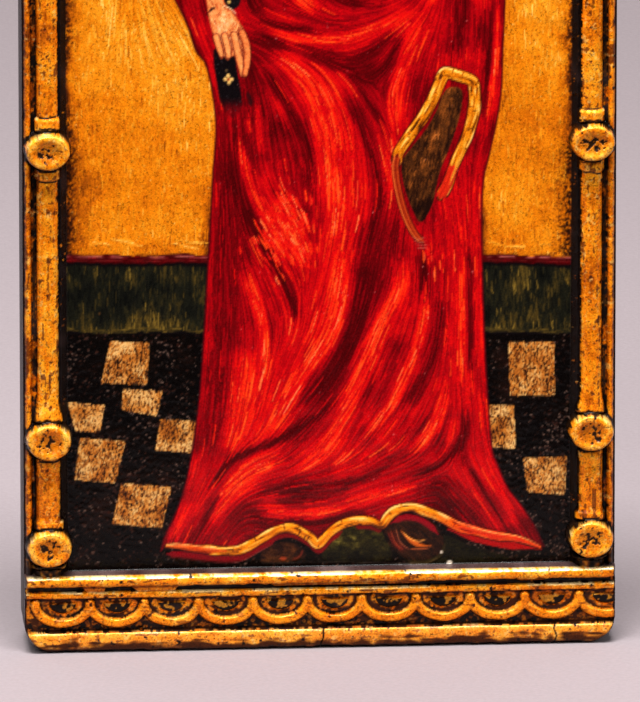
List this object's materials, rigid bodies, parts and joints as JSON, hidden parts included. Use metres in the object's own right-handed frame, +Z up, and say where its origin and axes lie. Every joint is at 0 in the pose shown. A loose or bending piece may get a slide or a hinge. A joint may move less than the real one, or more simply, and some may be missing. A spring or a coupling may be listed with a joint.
{
  "type": "orthodox panel icon",
  "caption": "Small upright panel icon: a painted robed figure in a sunk field, inside a gilded carved frame with knopped side columns and a scalloped plinth.",
  "frame": {"origin": "middle of the underside, at the bottom centre of the box", "axes": "+Z up along the panel's height, +Y from the painted front to the flat back, +X to the viewer's right"},
  "size_m": [0.15, 0.021, 0.26],
  "materials": {
    "gilded_painted_wood": "varnished gilding and oil paint on a wooden board, antiqued dark in the recesses"
  },
  "bodies": {
    "root": {"icon_panel": "gilded_painted_wood"}
  },
  "joints": []
}
